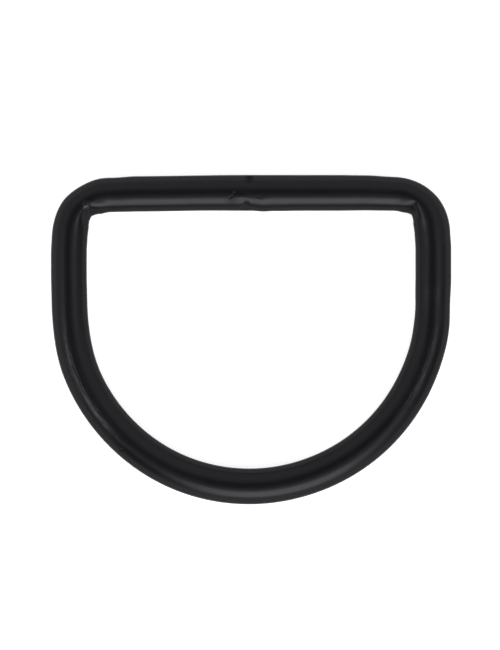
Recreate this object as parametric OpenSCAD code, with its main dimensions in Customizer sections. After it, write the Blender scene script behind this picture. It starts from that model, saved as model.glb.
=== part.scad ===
// Welded wire D ring, lying flat as it would by itself.
// A straight bar with a butt weld, two tight bends creased inside, two short legs and a half-round bow,
// all one piece of round wire. +X runs along the bar, +Y from the bow to the bar, and +Z up from the
// surface that the ring lies on. The origin is on that surface, under the middle of the ring's box.

/* [Opening] */
// Width between the legs, which is the width of strap that the bar takes
strap_w = 38; // [20:0.5:80]
// Height of the straight sides inside, from the bar's inner face to the start of the bow
side_h = 10.8; // [8:0.1:30]

/* [Wire] */
// Diameter of the bare steel wire
steel_d = 4; // [2.5:0.1:5]
// Thickness of the black coat on it
coat_t = 0.08; // [0.02:0.01:0.15]

/* [Bends] */
// Outer radius of the left bend
left_bend_r = 7.1; // [5.5:0.1:8]
// Outer radius of the right bend
right_bend_r = 6.7; // [5.5:0.1:8]
// How deep the fold's crease cuts into the wire inside each bend
crease_d = 0.46; // [0.1:0.02:0.6]
// Angle between the two sides of the crease
crease_angle = 110; // [80:5:140]

/* [Butt weld] */
// Place of the weld seam along the bar, from the ring's middle
seam_x = 0.3; // [-2:0.1:2]
// How far the swollen end stands proud of the bar's inner side
swell_h = 0.12; // [0.04:0.01:0.3]
// Length of the steep rise at the seam
swell_rise = 0.8; // [0.3:0.1:2]
// Length over which the swelling fades back into the bar
swell_fade = 3.2; // [1:0.1:5]
// How far the swelling reaches round the bar, either way from its inner side
swell_reach = 55; // [30:5:80]

/* [Weld crater] */
// Width of the crater beside the seam
crater_w = 1; // [0.4:0.1:1.6]
// Depth of the crater
crater_d = 0.16; // [0.05:0.01:0.3]
// Distance of the crater's middle from the seam, along the bar
crater_gap = 0.9; // [0.2:0.1:2]
// How far the crater sits round the bar, from its top towards the bow
crater_turn = 37; // [0:1:70]

/* [Hidden] */
$fn = 96;
coat_colour = "#1b1b1d";
quarter = 90;
half_turn = 180;
// The crease's V ends in the open, this far above its lowest line
crease_reach = 3 * crease_d;

// The wire as coated
wire_d = steel_d + 2 * coat_t;
wire_r = wire_d / 2;

// The ring's middle line: half its height is above the origin and half below
outer_h = 2 * wire_d + side_h + strap_w / 2;
bow_r = (strap_w + wire_d) / 2;
bar_y = outer_h / 2 - wire_r;
bow_y = bow_r + wire_r - outer_h / 2;
left_mid_r = left_bend_r - wire_r;
right_mid_r = right_bend_r - wire_r;

// A straight stretch of wire that starts at a point and runs towards +X
module run_x(start_x, y, length) {
    translate([start_x, y, wire_r])
        rotate([0, quarter, 0])
            cylinder(h = length, d = wire_d);
}

// A straight stretch of wire that starts at a point and runs towards +Y
module run_y(x, start_y, length) {
    translate([x, start_y, wire_r])
        rotate([-quarter, 0, 0])
            cylinder(h = length, d = wire_d);
}

// A bent stretch of wire round a centre, from one direction through a turn to the left
module run_round(centre, mid_r, from, turn) {
    translate([centre.x, centre.y, wire_r])
        rotate_extrude(angle = turn, start = from)
            translate([mid_r, 0])
                circle(d = wire_d);
}

// The straight bar between the two bends
module bar() {
    left_end = left_mid_r - bow_r;
    right_end = bow_r - right_mid_r;
    run_x(left_end, bar_y, right_end - left_end);
}

// One leg, from the bow up to the bend of this middle radius
module leg(x, bend_mid_r) {
    run_y(x, bow_y, bar_y - bend_mid_r - bow_y);
}

// One bend of the bar into a leg, on the side that side_sign names (-1 left, 1 right)
module bend(side_sign, mid_r) {
    centre = [side_sign * (bow_r - mid_r), bar_y - mid_r];
    from = side_sign < 0 ? quarter : 0;
    difference() {
        run_round(centre, mid_r, from, quarter);
        crease(centre, mid_r, from + quarter / 2);
    }
}

// The groove that the fold's crease leaves across the middle of a bend. It is a V wound once round the
// wire, set off centre towards the bend's outside: deepest inside the bend, it fades out on the wire's
// top and underside.
module crease(centre, mid_r, direction) {
    half_w = crease_reach * tan(crease_angle / 2);
    translate([centre.x, centre.y, wire_r])
        rotate([0, 0, direction])
            translate([mid_r + crease_d, 0, 0])
                rotate([quarter, 0, 0])
                    rotate_extrude()
                        polygon([
                            [wire_r, 0],
                            [wire_r + crease_reach, half_w],
                            [wire_r + crease_reach, -half_w]
                        ]);
}

// The half-round bow between the two legs
module bow() {
    run_round([0, bow_y], bow_r, half_turn, half_turn);
}

// The swollen wire end on the right of the seam: two coaxial cones, kept only on the bar's inner side
module weld_swell() {
    sunk_r = wire_r - swell_h;
    proud_r = wire_r + swell_h;
    length = swell_rise + swell_fade;
    reach_y = 2 * wire_r * cos(swell_reach);
    reach_z = 2 * wire_r * sin(swell_reach);
    translate([seam_x, bar_y, wire_r])
        rotate([0, quarter, 0])
            intersection() {
                union() {
                    cylinder(h = swell_rise, r1 = sunk_r, r2 = proud_r);
                    translate([0, 0, swell_rise])
                        cylinder(h = swell_fade, r1 = proud_r, r2 = sunk_r);
                }
                linear_extrude(height = length)
                    polygon([[0, 0], [reach_z, -reach_y], [-reach_z, -reach_y]]);
            }
}

// The crater on the left of the seam: a shallow cap of a ball, its rim as wide as named
module weld_crater() {
    ball_r = (crater_w * crater_w / 4 + crater_d * crater_d) / (2 * crater_d);
    translate([seam_x - crater_gap, bar_y, wire_r])
        rotate([crater_turn, 0, 0])
            translate([0, 0, wire_r + ball_r - crater_d])
                sphere(r = ball_r);
}

module d_ring() {
    color(coat_colour)
        difference() {
            union() {
                bar();
                weld_swell();
                bend(-1, left_mid_r);
                bend(1, right_mid_r);
                leg(-bow_r, left_mid_r);
                leg(bow_r, right_mid_r);
                bow();
            }
            weld_crater();
        }
}

d_ring();
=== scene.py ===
"""Dresses a welded wire D ring: one piece of round wire with a satin black coat, flat on a pale floor.

Sizes are in metres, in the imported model's own frame: +X runs along the straight bar, +Y from the bow to
the bar and +Z up from the floor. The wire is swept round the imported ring's middle line, then pressed
into the shape that bending, welding and coating left it in.
"""

from __future__ import annotations

import logging
import math
from dataclasses import dataclass, field, replace
from enum import Enum

import bpy
import numpy as np
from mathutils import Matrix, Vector

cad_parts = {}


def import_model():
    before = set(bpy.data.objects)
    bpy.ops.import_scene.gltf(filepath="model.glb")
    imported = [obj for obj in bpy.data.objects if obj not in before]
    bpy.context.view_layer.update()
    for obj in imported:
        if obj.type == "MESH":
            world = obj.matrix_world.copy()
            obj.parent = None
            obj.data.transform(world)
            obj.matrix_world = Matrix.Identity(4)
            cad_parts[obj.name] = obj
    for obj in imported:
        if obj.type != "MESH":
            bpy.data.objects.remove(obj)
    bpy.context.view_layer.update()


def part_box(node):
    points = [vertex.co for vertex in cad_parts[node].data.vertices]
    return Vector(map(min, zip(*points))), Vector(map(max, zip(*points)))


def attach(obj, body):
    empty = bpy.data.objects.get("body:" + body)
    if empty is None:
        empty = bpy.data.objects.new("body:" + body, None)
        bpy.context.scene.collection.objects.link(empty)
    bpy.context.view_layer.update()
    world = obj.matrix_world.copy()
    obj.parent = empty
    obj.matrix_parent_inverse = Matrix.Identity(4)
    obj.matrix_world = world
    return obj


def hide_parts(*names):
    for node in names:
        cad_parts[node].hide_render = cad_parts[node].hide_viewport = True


LOG = logging.getLogger("d_ring")
Colour = tuple[float, float, float, float]
Socket = bpy.types.NodeSocket
MM = 0.001
UP = Vector((0.0, 0.0, 1.0))
QUARTER_TURN = math.pi / 2
HALF_TURN = math.pi
# Degrees in a whole turn
FULL_CIRCLE = 360.0
# Turns round the wire, in degrees from its top, of its side towards the opening and its side away from it
INNER_SIDE = 90.0
OUTER_SIDE = -90.0
# Degrees that a bend turns through, and degrees from the bar to its middle
BEND_ANGLE = 90.0
MITRE_ANGLE = BEND_ANGLE / 2
# The power that squares a value in a math node
SQUARED = 2.0


class Side(Enum):
    """The two ends of the bar, by the sign of X."""

    LEFT = -1
    RIGHT = 1


class Heading(Enum):
    """The way in which a press moves the surface, in the Displace modifier's words."""

    OUT_OF_SURFACE = "NORMAL"
    ALONG_X = "X"
    ALONG_Y = "Y"


def fade(value: np.ndarray, start: float, end: float) -> np.ndarray:
    """Rises smoothly from 0 to 1.

    Args:
        value: where to read the rise.
        start: where it leaves 0.
        end: where it reaches 1, above or below start.

    Returns:
        The height of the rise at each value.
    """
    share = np.clip((value - start) / (end - start), 0.0, 1.0)
    return share * share * (3.0 - 2.0 * share)


def bell(distance: np.ndarray, reach: float) -> np.ndarray:
    """Falls smoothly from 1 to 0.

    Args:
        distance: how far each point is from the middle, with either sign.
        reach: the distance at which it has come down to 0.

    Returns:
        The height of the bell at each distance.
    """
    share = np.clip(np.abs(distance) / reach, 0.0, 1.0)
    return np.square(1.0 - share * share)


def round_share(turn: float | np.ndarray) -> float | np.ndarray:
    """The share of the way round the wire from its underside, for a turn in degrees from its top."""
    return turn / FULL_CIRCLE + 0.5


@dataclass(frozen=True)
class MiddleLine:
    """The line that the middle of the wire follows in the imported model."""

    wire_r: float
    bow_r: float
    bar_y: float
    bow_y: float
    left_r: float = 5.02 * MM
    right_r: float = 4.62 * MM
    seam_x: float = 0.3 * MM

    @classmethod
    def of_node(cls, node: str) -> MiddleLine:
        """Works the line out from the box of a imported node.

        Args:
            node: the node's name.

        Returns:
            The line that the middle of its wire follows.
        """
        low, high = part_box(node)
        wire_r = (high.z - low.z) / 2
        bow_r = (high.x - low.x) / 2 - wire_r
        return cls(wire_r, bow_r, high.y - wire_r, low.y + wire_r + bow_r)

    def bend_r(self, side: Side) -> float:
        """Middle radius of the bend on one side."""
        return self.left_r if side is Side.LEFT else self.right_r

    def bend_centre(self, side: Side) -> Vector:
        """Centre of the bend on one side, at the height of the wire's middle."""
        radius = self.bend_r(side)
        return Vector((side.value * (self.bow_r - radius), self.bar_y - radius, self.wire_r))

    def bar_length(self, side: Side) -> float:
        """Length of the bar from the weld seam to the bend on one side."""
        return abs(self.bend_centre(side).x - self.seam_x)

    def bend_length(self, side: Side) -> float:
        """Length of the bend on one side, along its middle."""
        return self.bend_r(side) * QUARTER_TURN

    def leg_length(self, side: Side) -> float:
        """Length of the leg on one side."""
        return self.bend_centre(side).y - self.bow_y

    @property
    def bow_length(self) -> float:
        """Length of the bow, along its middle."""
        return self.bow_r * HALF_TURN

    @property
    def length(self) -> float:
        """Length of the whole wire, from the seam round to the seam."""
        ends = sum(self.bar_length(s) + self.bend_length(s) + self.leg_length(s) for s in Side)
        return ends + self.bow_length

    def mitre(self, side: Side) -> float:
        """Distance along the wire from the seam to the middle of the bend on one side."""
        reach = self.bar_length(side) + self.bend_length(side) / 2
        return reach if side is Side.RIGHT else self.length - reach

    def gap(self, along: np.ndarray, at: float) -> np.ndarray:
        """Signed distance along the closed wire from a place to each point, the shorter way round."""
        half = self.length / 2
        return (along - at + half) % self.length - half

    def places(self, points: np.ndarray) -> tuple[np.ndarray, np.ndarray]:
        """Finds where points of the plain swept wire lie on it.

        Args:
            points: rows of x, y and z.

        Returns:
            The distance along the wire from the seam, to the right, and the turn round the wire in
            degrees, from its top towards the opening.
        """
        x, y, z = points.T
        right, left = self.bend_centre(Side.RIGHT), self.bend_centre(Side.LEFT)
        along = x - self.seam_x
        inward = self.bar_y - y
        start = self.bar_length(Side.RIGHT)

        bend = (x > right.x) & (y > right.y)
        angle = np.arctan2(x - right.x, y - right.y)
        along = np.where(bend, start + angle * self.right_r, along)
        inward = np.where(bend, self.right_r - np.hypot(x - right.x, y - right.y), inward)
        start += self.bend_length(Side.RIGHT)

        leg = (x > right.x) & (y <= right.y) & (y >= self.bow_y)
        along = np.where(leg, start + right.y - y, along)
        inward = np.where(leg, self.bow_r - x, inward)
        start += self.leg_length(Side.RIGHT)

        bow = y < self.bow_y
        angle = np.arctan2(self.bow_y - y, x)
        along = np.where(bow, start + angle * self.bow_r, along)
        inward = np.where(bow, self.bow_r - np.hypot(x, y - self.bow_y), inward)
        start += self.bow_length

        leg = (x < left.x) & (y <= left.y) & (y >= self.bow_y)
        along = np.where(leg, start + y - self.bow_y, along)
        inward = np.where(leg, self.bow_r + x, inward)
        start += self.leg_length(Side.LEFT)

        bend = (x < left.x) & (y > left.y)
        angle = np.arctan2(y - left.y, left.x - x)
        along = np.where(bend, start + angle * self.left_r, along)
        inward = np.where(bend, self.left_r - np.hypot(x - left.x, y - left.y), inward)
        turn = np.degrees(np.arctan2(inward, z - self.wire_r))
        return along % self.length, turn

    @property
    def girth(self) -> float:
        """Distance once round the wire."""
        return 2.0 * math.pi * self.wire_r

    def unrolled(self, along: float, turn: float) -> Vector:
        """A place on the coat as if it lay flat: distance along the wire, then distance round it."""
        return Vector((along % self.length, round_share(turn) * self.girth, 0.0))


@dataclass(frozen=True)
class Spot:
    """A place on the middle line, and the wire's heading there as seen from above, from +X."""

    at: Vector
    heading: float

    @property
    def forward(self) -> Vector:
        """The way the wire runs on."""
        return Vector((math.cos(self.heading), math.sin(self.heading), 0.0))

    @property
    def right(self) -> Vector:
        """The side that every bend turns to, where the opening is."""
        return Vector((math.sin(self.heading), -math.cos(self.heading), 0.0))


@dataclass(frozen=True)
class Run:
    """A straight stretch of the sweep."""

    length: float
    step: float

    def sweep(self, spot: Spot) -> Spot:
        """Extrudes the selected circle along the stretch.

        Args:
            spot: where the stretch starts.

        Returns:
            Where it ends.
        """
        steps = max(1, round(self.length / self.step))
        bpy.ops.mesh.extrude_repeat(steps=steps, offset=spot.forward * (self.length / steps))
        return Spot(spot.at + spot.forward * self.length, spot.heading)


@dataclass(frozen=True)
class Turn:
    """A bent stretch of the sweep, to the right."""

    radius: float
    angle: float
    step: float

    def sweep(self, spot: Spot) -> Spot:
        """Spins the selected circle round the bend's centre.

        Args:
            spot: where the stretch starts.

        Returns:
            Where it ends.
        """
        steps = max(1, round(self.radius * self.angle / self.step))
        centre = spot.at + spot.right * self.radius
        bpy.ops.mesh.spin(steps=steps, angle=self.angle, center=centre, axis=UP)
        end = Spot(centre, spot.heading - self.angle)
        return Spot(centre - end.right * self.radius, end.heading)


@dataclass(frozen=True)
class Mark:
    """A small bump, dent, nick or swelling on the wire.

    Its place is at, along the wire from the seam to the right, and turn, in degrees round the wire from
    its top towards the opening. length and width are its half lengths along and across its own axis,
    and slant is how many degrees that axis turns from the wire's line towards the opening. ragged is
    the share by which its outline wanders in and out.
    """

    name: str
    at: float
    turn: float
    length: float
    width: float
    height: float
    slant: float = 0.0
    ragged: float = 0.0


@dataclass
class WireRing:
    """The one piece of wire, swept round the middle line and ready to be pressed into shape.

    sides is how many points go once round the wire, and each step is the distance from one ring of
    points to the next. The fine stretches, at the weld and inside the bends, lie within their reach
    along the wire and between their two turns round it. Doubled points closer than join are merged,
    and a press leaves out points whose weight is below faintest. lobes says how many times each of the
    two waves in a ragged mark's outline comes round it.
    """

    line: MiddleLine
    name: str = "d_ring_coated"
    sides: int = 96
    weld_step: float = 0.1 * MM
    weld_reach: float = 5.0 * MM
    bar_step: float = 0.2 * MM
    bend_step: float = 0.1 * MM
    leg_step: float = 0.16 * MM
    bow_step: float = 0.28 * MM
    fine_weld_at: float = 0.3 * MM
    fine_weld_reach: float = 3.2 * MM
    fine_weld_turns: tuple[float, float] = (-100.0, 95.0)
    fine_bend_reach: float = 3.4 * MM
    fine_bend_turns: tuple[float, float] = (-12.0, 120.0)
    join: float = 0.002 * MM
    faintest: float = 0.002
    lobes: tuple[float, float] = (2.0, 3.0)
    piece: bpy.types.Object | None = None
    along: np.ndarray = field(default_factory=lambda: np.zeros(0))
    turn: np.ndarray = field(default_factory=lambda: np.zeros(0))
    rest: np.ndarray = field(default_factory=lambda: np.zeros((0, 3)))

    def build(self) -> bpy.types.Object:
        """Sweeps the plain wire, closes it and makes its mesh finer where it has most detail.

        Returns:
            The new object, at the origin, with its place in its mesh.
        """
        self._sweep()
        self._close()
        self._note_places()
        self._refine()
        self._note_places()
        self._lay_map()
        LOG.info("%s: %d faces", self.name, len(self.piece.data.polygons))
        return self.piece

    def _sweep(self) -> None:
        """Takes a circle from the weld seam round the ring and back to it, one stretch at a time."""
        line = self.line
        spot = Spot(Vector((line.seam_x, line.bar_y, line.wire_r)), 0.0)
        made = []
        for stretch in self._stretches():
            bpy.ops.object.select_all(action="DESELECT")
            bpy.ops.mesh.primitive_circle_add(
                vertices=self.sides,
                radius=line.wire_r,
                location=spot.at,
                rotation=(0.0, QUARTER_TURN, spot.heading),
            )
            made.append(bpy.context.object)
            bpy.ops.object.transform_apply(location=True, rotation=True, scale=True)
            bpy.ops.object.mode_set(mode="EDIT")
            bpy.ops.mesh.select_all(action="SELECT")
            spot = stretch.sweep(spot)
            bpy.ops.object.mode_set(mode="OBJECT")
        for part in made:
            part.select_set(True)
        bpy.context.view_layer.objects.active = made[0]
        bpy.ops.object.join()
        self.piece = made[0]
        self.piece.name = self.piece.data.name = self.name

    def _stretches(self) -> list[Run | Turn]:
        """The stretches of the sweep in order, from the seam to the right."""
        line = self.line
        return [
            Run(self.weld_reach, self.weld_step),
            Run(line.bar_length(Side.RIGHT) - self.weld_reach, self.bar_step),
            Turn(line.right_r, QUARTER_TURN, self.bend_step),
            Run(line.leg_length(Side.RIGHT), self.leg_step),
            Turn(line.bow_r, HALF_TURN, self.bow_step),
            Run(line.leg_length(Side.LEFT), self.leg_step),
            Turn(line.left_r, QUARTER_TURN, self.bend_step),
            Run(line.bar_length(Side.LEFT) - self.weld_reach, self.bar_step),
            Run(self.weld_reach, self.weld_step),
        ]

    def _close(self) -> None:
        """Merges the last circle with the first and turns every face outwards."""
        bpy.ops.object.mode_set(mode="EDIT")
        bpy.ops.mesh.select_all(action="SELECT")
        bpy.ops.mesh.remove_doubles(threshold=self.join)
        bpy.ops.mesh.normals_make_consistent(inside=False)
        bpy.ops.object.mode_set(mode="OBJECT")
        bpy.ops.object.shade_smooth()

    def _points(self) -> np.ndarray:
        """Reads the mesh's points.

        Returns:
            Rows of x, y and z.
        """
        mesh = self.piece.data
        points = np.zeros(len(mesh.vertices) * 3)
        mesh.vertices.foreach_get("co", points)
        return points.reshape(-1, 3)

    def _note_places(self) -> None:
        """Keeps each point's rest position and its place on the wire, for the presses."""
        self.rest = self._points()
        self.along, self.turn = self.line.places(self.rest)

    def _refine(self) -> None:
        """Splits each face into four at the weld and inside the bends, on the side that shows."""
        mesh = self.piece.data
        middles = np.zeros(len(mesh.polygons) * 3)
        mesh.polygons.foreach_get("center", middles)
        along, turn = self.line.places(middles.reshape(-1, 3))
        stretches = [(self.fine_weld_at, self.fine_weld_reach, self.fine_weld_turns)]
        for side in Side:
            stretches.append((self.line.mitre(side), self.fine_bend_reach, self.fine_bend_turns))
        chosen = np.zeros(len(mesh.polygons), dtype=bool)
        for at, reach, (first, last) in stretches:
            near = np.abs(self.line.gap(along, at)) < reach
            chosen = chosen | (near & (turn > first) & (turn < last))
        bpy.ops.object.mode_set(mode="EDIT")
        bpy.ops.mesh.select_all(action="DESELECT")
        bpy.ops.object.mode_set(mode="OBJECT")
        mesh.polygons.foreach_set("select", chosen)
        bpy.ops.object.mode_set(mode="EDIT")
        bpy.ops.mesh.select_mode(type="FACE")
        bpy.ops.mesh.subdivide(number_cuts=1, smoothness=0.0)
        bpy.ops.object.mode_set(mode="OBJECT")

    def _lay_map(self) -> None:
        """Lays the wire map: U runs once along the wire and V once round it, from its underside."""
        mesh = self.piece.data
        corner_points = np.zeros(len(mesh.loops), dtype=np.int64)
        mesh.loops.foreach_get("vertex_index", corner_points)
        first_corners = np.zeros(len(mesh.polygons), dtype=np.int64)
        mesh.polygons.foreach_get("loop_start", first_corners)
        corner_counts = np.zeros(len(mesh.polygons), dtype=np.int64)
        mesh.polygons.foreach_get("loop_total", corner_counts)
        columns = []
        for share in (self.along / self.line.length, round_share(self.turn)):
            # A face that crosses the map's end has corners at both ends, so its low ones go one map on
            at_corner = share[corner_points]
            highest = np.repeat(np.maximum.reduceat(at_corner, first_corners), corner_counts)
            columns.append(np.where(highest - at_corner > 0.5, at_corner + 1.0, at_corner))
        layer = mesh.uv_layers.new(name="wire_map")
        layer.data.foreach_set("uv", np.stack(columns, axis=1).ravel())

    def press(
        self,
        name: str,
        weights: np.ndarray,
        height: float,
        heading: Heading = Heading.OUT_OF_SURFACE,
    ) -> None:
        """Moves the surface by a weighted Displace modifier and applies it.

        Args:
            name: what the press leaves on the wire.
            weights: the share of the height that each point moves by, from 0 to 1.
            height: how far the surface moves where the weight is 1, negative for a dent.
            heading: the way in which it moves.
        """
        group = self.piece.vertex_groups.new(name=name)
        for index in np.flatnonzero(weights > self.faintest):
            group.add([int(index)], float(weights[index]), "REPLACE")
        modifier = self.piece.modifiers.new(name, "DISPLACE")
        modifier.direction = heading.value
        modifier.mid_level = 0.0
        modifier.strength = height
        modifier.vertex_group = group.name
        bpy.context.view_layer.objects.active = self.piece
        bpy.ops.object.modifier_apply(modifier=modifier.name)
        self.piece.vertex_groups.remove(self.piece.vertex_groups[name])

    def strike(self, mark: Mark) -> None:
        """Presses one mark into the surface or out of it.

        Args:
            mark: the mark, its place counted along the whole wire.
        """
        slant = math.radians(mark.slant)
        run = self.line.gap(self.along, mark.at)
        rise = np.radians(self.turn - mark.turn) * self.line.wire_r
        lengthwise = run * math.cos(slant) + rise * math.sin(slant)
        crosswise = rise * math.cos(slant) - run * math.sin(slant)
        distance = np.hypot(lengthwise / mark.length, crosswise / mark.width)
        bearing = np.arctan2(crosswise / mark.width, lengthwise / mark.length)
        # Each wave starts where the mark's own place puts it, so that no two outlines are alike
        few, many = self.lobes
        wander = np.sin(few * bearing + mark.turn) + np.sin(many * bearing + mark.at / MM)
        distance = distance / (1.0 + mark.ragged * wander / len(self.lobes))
        self.press(mark.name, bell(distance, 1.0), mark.height)


@dataclass(frozen=True)
class Bar:
    """What bending did to the straight bar: it sinks towards its left end, and is drawn thinner at both.

    draw_fade is the length over which the drawing fades into the bend, and depth how far below its
    middle line the bar still counts as bar, in wire radii.
    """

    sag: float = 0.12 * MM
    sag_start_x: float = -3.0 * MM
    sag_full_x: float = -14.0 * MM
    sag_leg_reach: float = 5.0 * MM
    left_draw: float = 0.026 * MM
    left_draw_start_x: float = -1.0 * MM
    left_draw_full_x: float = -6.0 * MM
    right_draw: float = 0.04 * MM
    right_draw_start_x: float = 9.5 * MM
    right_draw_full_x: float = 14.0 * MM
    draw_fade: float = 2.0 * MM
    depth: float = 1.1

    def shape(self, ring: WireRing) -> None:
        """Presses the bar into shape.

        Args:
            ring: the ring that holds the bar.
        """
        x, y, _ = ring.rest.T
        line = ring.line
        leg_top = line.bend_centre(Side.LEFT).y
        upper = fade(y, leg_top - self.sag_leg_reach, leg_top)
        sag = fade(x, self.sag_start_x, self.sag_full_x) * upper
        ring.press("bar_sag", sag, -self.sag, Heading.ALONG_Y)
        on_bar = y > line.bar_y - self.depth * line.wire_r
        for side, draw, start_x, full_x in (
            (Side.LEFT, self.left_draw, self.left_draw_start_x, self.left_draw_full_x),
            (Side.RIGHT, self.right_draw, self.right_draw_start_x, self.right_draw_full_x),
        ):
            end_x = line.bend_centre(side).x
            thin = fade(x, start_x, full_x) * fade(x, end_x + side.value * self.draw_fade, end_x)
            ring.press(f"bar_draw_{side.name.lower()}", thin * on_bar, -draw)


@dataclass(frozen=True)
class Bend:
    """One bend of the bar into a leg: drawn thin at the bar, leaning inwards, and creased inside.

    The dip lowers the bar's end, the neck draws the wire thin there, and the lean moves the leg's top
    inwards. The flat lies on the outside of the bend and the notch on its inside. A share is a place
    on the way from the bar, at 0, to the leg, at 1. An angle is in degrees from the bar. A turn, and
    the round that a form reaches either way, is in degrees round the wire. The fold's fields are
    explained where it is made. The places of the marks count from the bend's middle towards the bar.
    """

    side: Side
    dip: float
    dip_reach: float
    neck: float
    neck_reach: float
    lean: float
    lean_reach: float
    flat: float
    flat_share: float
    flat_reach: float
    notch: float
    notch_angle: float
    notch_reach: float
    fold_tight: float
    fold: float
    fold_leg: float
    fold_inside: float
    fold_angle: float
    fold_turn: float
    fold_round: float
    fold_lap: float
    marks: tuple[Mark, ...]
    dip_share: float = 0.04
    neck_share: float = 0.0
    lean_share: float = 0.9
    flat_round: float = 80.0
    notch_round: float = 70.0
    fold_inside_round: float = 88.0
    fold_swing_turn: float = 25.0
    fold_mitre_turn: float = 75.0

    def along(self, ring: WireRing, share: float) -> np.ndarray:
        """Signed distance to each point from a place in the bend, on the way from the bar to the leg.

        Args:
            ring: the ring that holds the bend.
            share: where in the bend, from 0 at the bar to 1 at the leg.

        Returns:
            The distance along the wire, growing towards the leg.
        """
        line = ring.line
        reach = line.bar_length(self.side) + line.bend_length(self.side) * share
        place = reach if self.side is Side.RIGHT else line.length - reach
        return line.gap(ring.along, place) * self.side.value

    def shape(self, ring: WireRing) -> None:
        """Presses the bend into shape.

        Args:
            ring: the ring that holds the bend.
        """
        name = self.side.name.lower()
        dip = bell(self.along(ring, self.dip_share), self.dip_reach)
        ring.press(f"bend_dip_{name}", dip, -self.dip, Heading.ALONG_Y)
        neck = bell(self.along(ring, self.neck_share), self.neck_reach)
        ring.press(f"bend_neck_{name}", neck, -self.neck)
        lean = bell(self.along(ring, self.lean_share), self.lean_reach)
        ring.press(f"bend_lean_{name}", lean, -self.side.value * self.lean, Heading.ALONG_X)
        outer = bell(ring.turn - OUTER_SIDE, self.flat_round)
        flat = bell(self.along(ring, self.flat_share), self.flat_reach) * outer
        ring.press(f"bend_flat_{name}", flat, -self.flat)
        inner = bell(ring.turn - INNER_SIDE, self.notch_round) * self._inside(ring)
        notch = bell(self._angle(ring) - self.notch_angle, self.notch_reach) * inner
        ring.press(f"bend_notch_{name}", notch, -self.notch)
        self._fold(ring)
        for mark in self.marks:
            place = ring.line.mitre(self.side) - self.side.value * mark.at
            ring.strike(replace(mark, name=f"{mark.name}_{name}", at=place))

    def _offsets(self, ring: WireRing) -> tuple[np.ndarray, np.ndarray]:
        """Measures how far each point lies from the bend's centre.

        Args:
            ring: the ring that holds the bend.

        Returns:
            The distance away from the ring's middle along X, and the distance along Y.
        """
        centre = ring.line.bend_centre(self.side)
        x, y, _ = ring.rest.T
        return (x - centre.x) * self.side.value, y - centre.y

    def _inside(self, ring: WireRing) -> np.ndarray:
        """Whether each point lies in the bend, on its inner half."""
        out_x, out_y = self._offsets(ring)
        return (out_x > 0.0) & (out_y > 0.0) & (ring.turn > 0.0)

    def _angle(self, ring: WireRing) -> np.ndarray:
        """The angle of each point round the bend, in degrees from the bar."""
        out_x, out_y = self._offsets(ring)
        return np.degrees(np.arctan2(out_x, out_y))

    def _fold(self, ring: WireRing) -> None:
        """Draws the upper inside of the bend towards a mitre, so that bar and leg meet in a fold.

        A full mitre would carry both straight sides on until they meet. The fold takes a share of
        that, fold on the bar and more, fold_leg, on the leg, which the bar laps over within fold_lap.
        fold_tight gathers the leg's share at the line where they meet. On top that line lies at
        fold_angle, and between its two turns it swings over to the mitre. fold_inside is the share
        right inside the bend.

        Args:
            ring: the ring that holds the bend.
        """
        out_x, out_y = self._offsets(ring)
        radius = np.hypot(out_x, out_y)
        angle = self._angle(ring)
        swing = fade(ring.turn, self.fold_swing_turn, self.fold_mitre_turn)
        line = self.fold_angle + (MITRE_ANGLE - self.fold_angle) * swing
        on_leg = np.clip((BEND_ANGLE - angle) / (BEND_ANGLE - line), 0.0, 1.0) ** self.fold_tight
        near = np.where(angle < line, np.clip(angle / line, 0.0, 1.0), on_leg)
        gap = 1.0 / np.cos(np.radians(MITRE_ANGLE * near)) - 1.0
        share = self.fold + (self.fold_leg - self.fold) * fade(angle - line, 0.0, self.fold_lap)
        share = share * bell(ring.turn - self.fold_turn, self.fold_round)
        share = share + self.fold_inside * bell(ring.turn - INNER_SIDE, self.fold_inside_round)
        reach = radius * gap * share * self._inside(ring)
        name = self.side.name.lower()
        deepest = float(reach.max())
        for heading, part, sign in (
            (Heading.ALONG_X, out_x / radius, self.side.value),
            (Heading.ALONG_Y, out_y / radius, 1),
        ):
            label = f"bend_fold_{name}_{heading.value.lower()}"
            ring.press(label, reach * part / deepest, sign * deepest, heading)


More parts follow.
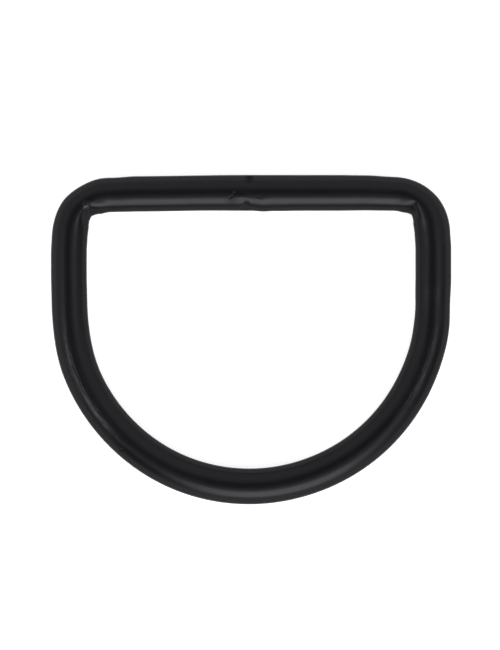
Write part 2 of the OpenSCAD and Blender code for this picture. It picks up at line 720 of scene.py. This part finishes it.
@dataclass(frozen=True)
class Bow:
    """What bending did to the bow: it starts early at both legs, leans to the left and sags there.

    On the right it is drawn thin where it leaves the leg, and lifted further round.
    """

    lean: float = 0.11 * MM
    lean_start_y: float = 3.0 * MM
    lean_full_y: float = -5.0 * MM
    left_early: float = 0.1 * MM
    left_early_y: float = 2.0 * MM
    left_early_reach: float = 6.0 * MM
    right_early: float = 0.075 * MM
    right_early_y: float = 3.3 * MM
    right_early_reach: float = 4.2 * MM
    right_neck: float = 0.055 * MM
    right_neck_y: float = 3.9 * MM
    right_neck_reach: float = 2.6 * MM
    left_sag: float = 0.045 * MM
    left_sag_x: float = -9.5 * MM
    right_lift: float = 0.04 * MM
    right_lift_x: float = 7.5 * MM
    swing_reach: float = 9.0 * MM
    swing_start_y: float = -4.0 * MM
    swing_full_y: float = -9.0 * MM

    def shape(self, ring: WireRing) -> None:
        """Presses the bow into shape.

        Args:
            ring: the ring that holds the bow.
        """
        x, y, _ = ring.rest.T
        ring.press("bow_lean", fade(y, self.lean_start_y, self.lean_full_y), -self.lean, Heading.ALONG_X)
        left = bell(y - self.left_early_y, self.left_early_reach) * (x < 0.0)
        ring.press("bow_start_left", left, self.left_early, Heading.ALONG_X)
        right = bell(y - self.right_early_y, self.right_early_reach) * (x > 0.0)
        ring.press("bow_start_right", right, -self.right_early, Heading.ALONG_X)
        neck = bell(y - self.right_neck_y, self.right_neck_reach) * (x > 0.0)
        ring.press("bow_neck_right", neck, -self.right_neck)
        low = fade(y, self.swing_start_y, self.swing_full_y)
        sag = bell(x - self.left_sag_x, self.swing_reach) * low
        ring.press("bow_sag", sag, -self.left_sag, Heading.ALONG_Y)
        lift = bell(x - self.right_lift_x, self.swing_reach) * low
        ring.press("bow_lift", lift, self.right_lift, Heading.ALONG_Y)


@dataclass(frozen=True)
class Weld:
    """The butt weld in the bar: a swollen end on the right, a crater and a nick on the left."""

    marks: tuple[Mark, ...] = (
        Mark("weld_swell", 1.1 * MM, 72.0, 1.3 * MM, 1.9 * MM, 0.08 * MM),
        Mark("weld_fade", 2.6 * MM, 80.0, 3.4 * MM, 1.8 * MM, 0.035 * MM),
        Mark("weld_ridge", 0.9 * MM, 30.0, 1.5 * MM, 0.9 * MM, 0.03 * MM),
        Mark("weld_crater", -0.92 * MM, 53.0, 0.74 * MM, 1.1 * MM, -0.12 * MM, ragged=0.2),
        Mark("weld_hump", -1.12 * MM, 13.0, 1.1 * MM, 0.75 * MM, 0.05 * MM, ragged=0.35),
        Mark("weld_low_nick", -2.6 * MM, 13.0, 0.42 * MM, 0.26 * MM, -0.026 * MM, slant=-55.0, ragged=0.5),
        Mark("weld_high_nick", -2.2 * MM, 2.0, 0.34 * MM, 0.22 * MM, -0.025 * MM, slant=-50.0, ragged=0.5),
        Mark("weld_lip", -2.45 * MM, 4.0, 0.8 * MM, 0.25 * MM, 0.01 * MM, slant=-60.0, ragged=0.4),
        Mark("weld_speck", 0.73 * MM, 15.0, 0.45 * MM, 0.32 * MM, -0.018 * MM, slant=35.0, ragged=0.4),
        Mark("weld_notch", -0.4 * MM, -60.0, 0.6 * MM, 0.7 * MM, -0.07 * MM, ragged=0.3),
    )

    def shape(self, ring: WireRing) -> None:
        """Strikes the weld's marks."""
        for mark in self.marks:
            ring.strike(mark)


BENDS = (
    Bend(
        side=Side.LEFT,
        dip=0.11 * MM,
        dip_reach=3.2 * MM,
        neck=0.055 * MM,
        neck_reach=2.4 * MM,
        lean=0.11 * MM,
        lean_reach=2.6 * MM,
        flat=0.12 * MM,
        flat_share=0.35,
        flat_reach=1.9 * MM,
        notch=0.2 * MM,
        notch_angle=46.0,
        notch_reach=26.0,
        fold_tight=1.0,
        fold=0.3,
        fold_leg=0.56,
        fold_inside=0.22,
        fold_angle=37.0,
        fold_turn=50.0,
        fold_round=44.0,
        fold_lap=6.0,
        marks=(
            Mark("shoulder", 1.9 * MM, 39.0, 2.2 * MM, 0.9 * MM, 0.08 * MM),
            Mark("nib", 0.6 * MM, 11.0, 0.55 * MM, 0.8 * MM, 0.1 * MM),
        ),
    ),
    Bend(
        side=Side.RIGHT,
        dip=0.1 * MM,
        dip_reach=3.6 * MM,
        neck=0.06 * MM,
        neck_reach=2.8 * MM,
        lean=0.13 * MM,
        lean_reach=2.6 * MM,
        flat=0.145 * MM,
        flat_share=0.41,
        flat_reach=3.6 * MM,
        notch=0.18 * MM,
        notch_angle=45.0,
        notch_reach=28.0,
        fold_tight=1.6,
        fold=0.38,
        fold_leg=0.42,
        fold_inside=0.22,
        fold_angle=35.0,
        fold_turn=43.0,
        fold_round=47.0,
        fold_lap=1.5,
        marks=(Mark("shoulder", 1.6 * MM, 38.0, 1.9 * MM, 0.85 * MM, 0.05 * MM),),
    ),
)


def aim(azimuth: float, from_top: float) -> Vector:
    """Direction from the ring to a place above it.

    Args:
        azimuth: degrees from +X towards +Y.
        from_top: degrees down from straight above.

    Returns:
        The direction, one unit long.
    """
    place, lean = math.radians(azimuth), math.radians(from_top)
    return Vector((math.cos(place) * math.sin(lean), math.sin(place) * math.sin(lean), math.cos(lean)))


@dataclass(frozen=True)
class Softbox:
    """A rectangular soft light that faces the ring."""

    name: str
    azimuth: float
    from_top: float
    width: float
    height: float
    brightness: float
    distance: float = 0.6

    def hang(self) -> None:
        """Adds the light, its power worked out from its brightness and its area."""
        direction = aim(self.azimuth, self.from_top)
        bpy.ops.object.light_add(
            type="AREA",
            location=direction * self.distance,
            rotation=direction.to_track_quat("Z", "Y").to_euler(),
        )
        light = bpy.context.object
        light.name = self.name
        light.data.shape = "RECTANGLE"
        light.data.size = self.width
        light.data.size_y = self.height
        light.data.energy = self.brightness * math.pi * self.width * self.height


@dataclass(frozen=True)
class Shade:
    """A soft dark patch of the sky, reach degrees wide each way, that takes depth of its light away."""

    name: str
    azimuth: float
    from_top: float
    reach: float
    depth: float


@dataclass(frozen=True)
class PaleFloor:
    """The floor's finish: matt and pale, with a glow of its own that brings it near white."""

    colour: Colour = (0.8, 0.8, 0.8, 1.0)
    roughness: float = 0.9
    shine: float = 0.0
    glow_colour: Colour = (1.0, 1.0, 1.0, 1.0)
    glow: float = 0.6

    def build(self) -> bpy.types.Material:
        """Builds the floor's material.

        Returns:
            The new material.
        """
        material = bpy.data.materials.new("pale_floor")
        material.use_nodes = True
        shader = material.node_tree.nodes["Principled BSDF"]
        for socket, value in (
            ("Base Color", self.colour),
            ("Roughness", self.roughness),
            ("Specular IOR Level", self.shine),
            ("Emission Color", self.glow_colour),
            ("Emission Strength", self.glow),
        ):
            shader.inputs[socket].default_value = value
        return material


@dataclass(frozen=True)
class Studio:
    """The camera straight above the ring, the pale floor, the shaded sky and the soft lights."""

    line: MiddleLine
    field_height: float = 75.19 * MM
    camera_height: float = 700.0 * MM
    aim_x: float = -0.127 * MM
    aim_y: float = 1.70 * MM
    sensor_height: float = 36.0
    clip_near: float = 10.0 * MM
    clip_far: float = 10.0
    floor_size: float = 6.0
    sky_brightness: float = 1.0
    shades: tuple[Shade, ...] = (
        Shade("shade_overhead", 134.0, 9.0, 38.5, 0.81),
        Shade("shade_front_left", -136.0, 55.0, 42.0, 0.95),
        Shade("shade_front_right", -19.0, 70.0, 33.0, 0.7),
    )
    softboxes: tuple[Softbox, ...] = (
        Softbox("front_softbox", -83.0, 54.0, 0.46, 0.42, 3.35),
        Softbox("left_softbox", -157.0, 47.5, 0.17, 0.21, 5.8),
        Softbox("right_softbox", -17.0, 37.0, 0.1, 0.19, 2.9),
    )

    def build(self) -> None:
        """Builds the camera, the floor, the lights and the sky."""
        self._camera()
        self._floor()
        self._sky()
        for softbox in self.softboxes:
            softbox.hang()
        bpy.context.scene.view_settings.view_transform = "Standard"

    def _camera(self) -> None:
        """Sets a long lens straight above the ring, with the bar at the top of the frame."""
        bpy.ops.object.camera_add(
            location=(self.aim_x, self.aim_y, self.line.wire_r + self.camera_height),
            rotation=(0.0, 0.0, 0.0),
        )
        camera = bpy.context.object
        camera.name = "camera"
        # The frame is upright, so Blender takes this width for its longer side, the height
        camera.data.sensor_width = self.sensor_height
        camera.data.lens = self.sensor_height * self.camera_height / self.field_height
        camera.data.clip_start = self.clip_near
        camera.data.clip_end = self.clip_far
        bpy.context.scene.camera = camera

    def _floor(self) -> None:
        """Lays the plain pale floor that the ring rests on."""
        bpy.ops.mesh.primitive_plane_add(size=self.floor_size, location=(0.0, 0.0, 0.0))
        floor = bpy.context.object
        floor.name = "floor"
        floor.data.materials.append(PaleFloor().build())

    def _sky(self) -> None:
        """Surrounds the scene with a pale sky that its shades darken."""
        world = bpy.data.worlds.new("pale_sky")
        world.use_nodes = True
        bpy.context.scene.world = world
        tree = world.node_tree
        background = tree.nodes["Background"]
        background.inputs["Strength"].default_value = self.sky_brightness
        direction = tree.nodes.new("ShaderNodeTexCoord").outputs["Generated"]
        group = self._shade_group()
        light = None
        for shade in self.shades:
            node = tree.nodes.new("ShaderNodeGroup")
            node.name = shade.name
            node.node_tree = group
            node.inputs["Centre"].default_value = aim(shade.azimuth, shade.from_top)
            node.inputs["Reach"].default_value = math.radians(shade.reach)
            node.inputs["Depth"].default_value = shade.depth
            tree.links.new(direction, node.inputs["Direction"])
            if light is not None:
                tree.links.new(light, node.inputs["Light"])
            light = node.outputs["Light"]
        tree.links.new(light, background.inputs["Color"])

    def _shade_group(self) -> bpy.types.NodeTree:
        """Makes the node group that darkens the light round one direction.

        Returns:
            The group, whose light is full where nothing is linked to it.
        """
        group = NodeGroup("soft_shade")
        group.input("Light", "NodeSocketFloat", 1.0)
        group.input("Direction", "NodeSocketVector")
        group.input("Centre", "NodeSocketVector")
        group.input("Reach", "NodeSocketFloat")
        group.input("Depth", "NodeSocketFloat")
        group.output("Light", "NodeSocketFloat")
        cosine = group.vector("DOT_PRODUCT", group.inlet("Direction"), group.inlet("Centre"))
        share = group.math("DIVIDE", group.math("ARCCOSINE", cosine), group.inlet("Reach"), clamp=True)
        fall = group.math("SUBTRACT", 1.0, group.math("POWER", share, SQUARED))
        dark = group.math("MULTIPLY", group.math("POWER", fall, SQUARED), group.inlet("Depth"))
        left = group.math("SUBTRACT", 1.0, dark)
        group.deliver("Light", group.math("MULTIPLY", group.inlet("Light"), left))
        return group.tree


class NodeGroup:
    """A shared node group, built by short calls that each add one node."""

    # The places of the colour sockets on a Mix node, whose sockets share their names
    MIX_SHARE, MIX_FIRST, MIX_SECOND = 0, 6, 7
    MIX_RESULT = 2

    def __init__(self, name: str) -> None:
        """Starts an empty group.

        Args:
            name: the group's name.
        """
        self.tree = bpy.data.node_groups.new(name, "ShaderNodeTree")
        self._inputs = self.tree.nodes.new("NodeGroupInput")
        self._outputs = self.tree.nodes.new("NodeGroupOutput")

    def input(self, name: str, kind: str, default: float | None = None) -> None:
        """Adds an input socket.

        Args:
            name: the socket's name.
            kind: the socket's type, in Blender's words.
            default: the value it has where nothing is linked to it.
        """
        socket = self.tree.interface.new_socket(name, in_out="INPUT", socket_type=kind)
        if default is not None:
            socket.default_value = default

    def output(self, name: str, kind: str) -> None:
        """Adds an output socket."""
        self.tree.interface.new_socket(name, in_out="OUTPUT", socket_type=kind)

    def inlet(self, name: str) -> Socket:
        """The value that comes in at an input."""
        return self._inputs.outputs[name]

    def deliver(self, name: str, value: Socket) -> None:
        """Sends a value to an output."""
        self.tree.links.new(value, self._outputs.inputs[name])

    def plug(self, value: Socket | float, socket: Socket) -> None:
        """Links a value to a socket, or sets the socket to it.

        Args:
            value: another node's output, or a fixed value.
            socket: the input that takes it.
        """
        if isinstance(value, Socket):
            self.tree.links.new(value, socket)
        else:
            socket.default_value = value

    def math(self, operation: str, *values: Socket | float, clamp: bool = False) -> Socket:
        """Adds a math node.

        Args:
            operation: what it does, in Blender's words.
            values: its inputs in order.
            clamp: whether its result is kept between 0 and 1.

        Returns:
            Its result.
        """
        node = self.tree.nodes.new("ShaderNodeMath")
        node.operation = operation
        node.use_clamp = clamp
        for value, socket in zip(values, node.inputs):
            self.plug(value, socket)
        return node.outputs["Value"]

    def vector(self, operation: str, *values: Socket) -> Socket:
        """Adds a vector math node.

        Args:
            operation: what it does, in Blender's words.
            values: its inputs in order.

        Returns:
            Its result, a number for a dot product and a vector otherwise.
        """
        node = self.tree.nodes.new("ShaderNodeVectorMath")
        node.operation = operation
        for value, socket in zip(values, node.inputs):
            self.plug(value, socket)
        return node.outputs["Value" if operation == "DOT_PRODUCT" else "Vector"]

    def noise(self, place: Socket, scale: float, detail: float) -> Socket:
        """Adds a noise texture.

        Args:
            place: where it is read.
            scale: how many of its lumps go into one unit.
            detail: how many finer layers of lumps it has.

        Returns:
            Its value.
        """
        node = self.tree.nodes.new("ShaderNodeTexNoise")
        node.inputs["Scale"].default_value = scale
        node.inputs["Detail"].default_value = detail
        self.plug(place, node.inputs["Vector"])
        return node.outputs["Fac"]

    def mix_color(self, share: Socket, first: Socket | Colour, second: Socket | Colour) -> Socket:
        """Adds a colour mix.

        Args:
            share: how much of the second colour it has.
            first: the first colour.
            second: the second colour.

        Returns:
            The mixed colour.
        """
        node = self.tree.nodes.new("ShaderNodeMix")
        node.data_type = "RGBA"
        self.plug(share, node.inputs[self.MIX_SHARE])
        self.plug(first, node.inputs[self.MIX_FIRST])
        self.plug(second, node.inputs[self.MIX_SECOND])
        return node.outputs[self.MIX_RESULT]


@dataclass(frozen=True)
class Patch:
    """A soft oval on the coat, by its place along the wire, its turn round it and its half sizes.

    tint is how much of the patch's colour shows at its middle, and rub how strongly it is streaked and
    roughened.
    """

    name: str
    at: float
    turn: float
    length: float
    width: float
    tint: float
    rub: float = 0.0


@dataclass(frozen=True)
class SatinCoat:
    """The black coat: near black, satin and slightly uneven, with rubs, specks, painted glints and painted
    shade.

    The waves, the finer peel and the grain are lumps that cover it all over. The streaks run along the
    wire in the rubs alone. Each size is how wide a lump or streak is, and each height how far it rises.
    """

    line: MiddleLine
    name: str = "satin_black_coat"
    colour: Colour = (0.0198, 0.0195, 0.0213, 1.0)
    # Lighter, bluer tint on the rubs: partly rubbed coat, partly painted highlight on the bow's highlights
    rub_and_highlight_colour: Colour = (0.0215, 0.0236, 0.0248, 1.0)
    # Darker colour of the real specks and the weld's notch patch, and of the painted shade on the weld's
    # highlight, in the nick and in the right fold
    dark_speck_and_shade_colour: Colour = (0.007, 0.007, 0.0074, 1.0)
    # Light colour of the painted glints and highlights, laid where reflections fall
    painted_glint_colour: Colour = (0.075, 0.075, 0.079, 1.0)
    edge_shine: Colour = (0.52, 0.52, 0.52, 1.0)
    metallic: float = 1.0
    roughness: float = 0.29
    roughness_swing: float = 0.06
    wave_size: float = 2.2 * MM
    wave_height: float = 0.009 * MM
    peel_size: float = 0.6 * MM
    peel_height: float = 0.0022 * MM
    grain_size: float = 0.16 * MM
    grain_height: float = 0.0006 * MM
    streak_length: float = 1.5 * MM
    streak_width: float = 0.45 * MM
    streak_height: float = 0.09 * MM
    rub_roughness: float = 0.07
    lump_detail: float = 1.0
    grain_detail: float = 0.0

    def build(self) -> bpy.types.Material:
        """Builds the coat's material.

        Returns:
            The new material.
        """
        material = bpy.data.materials.new(self.name)
        material.use_nodes = True
        tree = material.node_tree
        shader = tree.nodes["Principled BSDF"]
        shader.inputs["Metallic"].default_value = self.metallic
        shader.inputs["Specular Tint"].default_value = self.edge_shine
        surface = tree.nodes.new("ShaderNodeGroup")
        surface.name = "uneven_coat"
        surface.node_tree = self._surface_group()
        point = tree.nodes.new("ShaderNodeTexCoord").outputs["Object"]
        place = tree.nodes.new("ShaderNodeUVMap")
        place.uv_map = "wire_map"
        tree.links.new(point, surface.inputs["Point"])
        tree.links.new(place.outputs["UV"], surface.inputs["Wire Map"])
        bump = tree.nodes.new("ShaderNodeBump")
        # The heights that come in are metres already
        bump.inputs["Distance"].default_value = 1.0
        tree.links.new(surface.outputs["Height"], bump.inputs["Height"])
        tree.links.new(surface.outputs["Color"], shader.inputs["Base Color"])
        tree.links.new(surface.outputs["Roughness"], shader.inputs["Roughness"])
        tree.links.new(bump.outputs["Normal"], shader.inputs["Normal"])
        return material

    def _bow_place(self, degrees: float) -> float:
        """Distance along the wire to a place on the bow, by its angle from the right leg."""
        start = self.line.bar_length(Side.RIGHT) + self.line.bend_length(Side.RIGHT)
        return start + self.line.leg_length(Side.RIGHT) + math.radians(degrees) * self.line.bow_r

    def _rubs(self) -> tuple[Patch, ...]:
        """The rubbed stretches of the bow, on top and towards the outside where the side lights'
        highlights fall; their lighter tint is partly painted highlight.
        """
        return (
            Patch("left_rub", self._bow_place(154.0), -19.0, 12.0 * MM, 1.05 * MM, 0.6, 0.9),
            Patch("right_rub", self._bow_place(27.0), -12.0, 9.0 * MM, 1.2 * MM, 0.2, 0.9),
            Patch("left_low_rub", self._bow_place(138.0), -19.0, 3.6 * MM, 0.9 * MM, 0.1, 0.8),
        )

    def _painted_glints(self) -> tuple[Patch, ...]:
        """The painted glints and highlights: light spots and strips laid where reflections of the lights
        fall.
        """
        nib = self.line.mitre(Side.LEFT) + 0.43 * MM
        return (
            # Painted glint on the nib at the left fold, where the front light reflects
            Patch("nib_painted_glint", nib, 17.0, 0.62 * MM, 1.0 * MM, 0.46),
            # Painted glint on the lip of the weld's nick
            Patch("lip_painted_glint", -2.3 * MM, -2.0, 0.2 * MM, 0.2 * MM, 0.3),
            # Painted highlights that brighten the bow's reflections of the side lights
            Patch("low_rub_painted_highlight", self._bow_place(143.5), -17.0, 3.4 * MM, 0.6 * MM, 0.3),
            Patch("right_rub_painted_highlight", self._bow_place(23.0), -13.0, 5.0 * MM, 0.5 * MM, 0.08),
            # Painted glint on a low speck of the bow
            Patch("low_painted_glint", self._bow_place(131.7), -38.0, 0.16 * MM, 0.16 * MM, 0.7),
        )

    def _specks_and_shade(self) -> tuple[Patch, ...]:
        """The dark specks, the darker patch on the weld's notch, and the painted shade that dims the
        weld's highlight, the nick and the right fold.
        """
        right = self.line.mitre(Side.RIGHT)
        return (
            # A darker patch on the weld's top notch
            Patch("weld_blotch", -0.47 * MM, -57.0, 0.8 * MM, 1.3 * MM, 1.0),
            # Painted shade that dims the highlight left of the weld crater, and that darkens the nick
            # below it
            Patch("weld_painted_shade", -2.5 * MM, 28.0, 1.15 * MM, 0.8 * MM, 0.5),
            Patch("nick_painted_shade", -2.7 * MM, 19.0, 0.3 * MM, 0.32 * MM, 0.35),
            # Painted shade in the right bend's fold, dimming the leg's highlight
            Patch("fold_painted_shade_right", right + 0.93 * MM, 23.0, 1.5 * MM, 0.6 * MM, 0.7),
            # Dark specks on the bow
            Patch("rub_speck_high", self._bow_place(154.0), -10.0, 0.22 * MM, 0.2 * MM, 0.9),
            Patch("rub_speck_low", self._bow_place(144.5), -13.0, 0.22 * MM, 0.2 * MM, 0.9),
            Patch("low_speck", self._bow_place(131.5), -43.0, 0.45 * MM, 0.4 * MM, 0.8),
        )

    def _surface_group(self) -> bpy.types.NodeTree:
        """Makes the node group of the coat's colour, roughness and relief.

        Returns:
            The group.
        """
        group = NodeGroup("uneven_coat")
        group.input("Point", "NodeSocketVector")
        group.input("Wire Map", "NodeSocketVector")
        group.output("Color", "NodeSocketColor")
        group.output("Roughness", "NodeSocketFloat")
        group.output("Height", "NodeSocketFloat")
        point = group.inlet("Point")
        spread = Vector((self.line.length, self.line.girth, 0.0))
        flat = group.vector("MULTIPLY", group.inlet("Wire Map"), spread)
        wave = group.noise(point, 1.0 / self.wave_size, self.lump_detail)
        peel = group.noise(point, 1.0 / self.peel_size, self.lump_detail)
        grain = group.noise(point, 1.0 / self.grain_size, self.grain_detail)
        grid = Vector((1.0 / self.streak_length, 1.0 / self.streak_width, 0.0))
        streak = group.noise(group.vector("MULTIPLY", flat, grid), 1.0, self.lump_detail)
        oval = self._patch_group()
        rubbed = self._lay(group, oval, flat, [(rub, rub.rub) for rub in self._rubs()])
        light, painted_glint_share, dark = (
            self._lay(group, oval, flat, [(patch, patch.tint) for patch in patches])
            for patches in (self._rubs(), self._painted_glints(), self._specks_and_shade())
        )
        relief = group.math("MULTIPLY", wave, self.wave_height)
        for noise, height in ((peel, self.peel_height), (grain, self.grain_height)):
            relief = group.math("MULTIPLY_ADD", noise, height, relief)
        scratched = group.math("MULTIPLY", group.math("MULTIPLY", streak, rubbed), self.streak_height)
        group.deliver("Height", group.math("ADD", relief, scratched))
        smoothest = self.roughness - self.roughness_swing / 2
        uneven = group.math("MULTIPLY_ADD", wave, self.roughness_swing, smoothest)
        group.deliver("Roughness", group.math("MULTIPLY_ADD", rubbed, self.rub_roughness, uneven))
        # The rubs' lighter tint is partly rubbed coat and partly painted highlight
        colour = group.mix_color(light, self.colour, self.rub_and_highlight_colour)
        # The dark patches are real specks and painted shade
        colour = group.mix_color(dark, colour, self.dark_speck_and_shade_colour)
        # The light patches are painted glints and highlights
        group.deliver("Color", group.mix_color(painted_glint_share, colour, self.painted_glint_colour))
        return group.tree

    def _lay(
        self,
        group: NodeGroup,
        oval: bpy.types.NodeTree,
        flat: Socket,
        patches: list[tuple[Patch, float]],
    ) -> Socket:
        """Lays patches on the coat, each at its own strength, and adds them up.

        Args:
            group: the node group that they go into.
            oval: the node group of one soft oval.
            flat: the place on the unrolled coat.
            patches: each patch with its strength.

        Returns:
            The strength at each place.
        """
        total = None
        for patch, strength in patches:
            node = group.tree.nodes.new("ShaderNodeGroup")
            node.name = patch.name
            node.node_tree = oval
            node.inputs["Centre"].default_value = self.line.unrolled(patch.at, patch.turn)
            node.inputs["Half Size"].default_value = (patch.length, patch.width, 1.0)
            group.plug(flat, node.inputs["Place"])
            part = group.math("MULTIPLY", node.outputs["Share"], strength)
            total = part if total is None else group.math("ADD", total, part)
        return total

    def _patch_group(self) -> bpy.types.NodeTree:
        """Makes the node group of a soft oval on the unrolled coat.

        Returns:
            The group, whose share is 1 at the oval's middle and 0 outside it.
        """
        group = NodeGroup("soft_patch")
        group.input("Place", "NodeSocketVector")
        group.input("Centre", "NodeSocketVector")
        group.input("Half Size", "NodeSocketVector")
        group.output("Share", "NodeSocketFloat")
        offset = group.vector("SUBTRACT", group.inlet("Place"), group.inlet("Centre"))
        offset = group.vector("DIVIDE", offset, group.inlet("Half Size"))
        square = group.vector("DOT_PRODUCT", offset, offset)
        inside = group.math("SUBTRACT", 1.0, square, clamp=True)
        group.deliver("Share", group.math("POWER", inside, SQUARED))
        return group.tree


def main() -> None:
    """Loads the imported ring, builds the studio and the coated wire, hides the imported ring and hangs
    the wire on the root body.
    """
    logging.basicConfig(level=logging.INFO, format="%(name)s: %(message)s")
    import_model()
    line = MiddleLine.of_node("d_ring")
    Studio(line).build()
    ring = WireRing(line)
    piece = ring.build()
    for part in (Bar(), *BENDS, Bow(), Weld()):
        part.shape(ring)
        LOG.info("%s: %s shaped", piece.name, type(part).__name__)
    piece.data.materials.append(SatinCoat(line).build())
    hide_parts("d_ring")
    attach(piece, "root")
    LOG.info("%s rides on the one body and stands for the packed ring", piece.name)


if __name__ == "__main__":
    main()
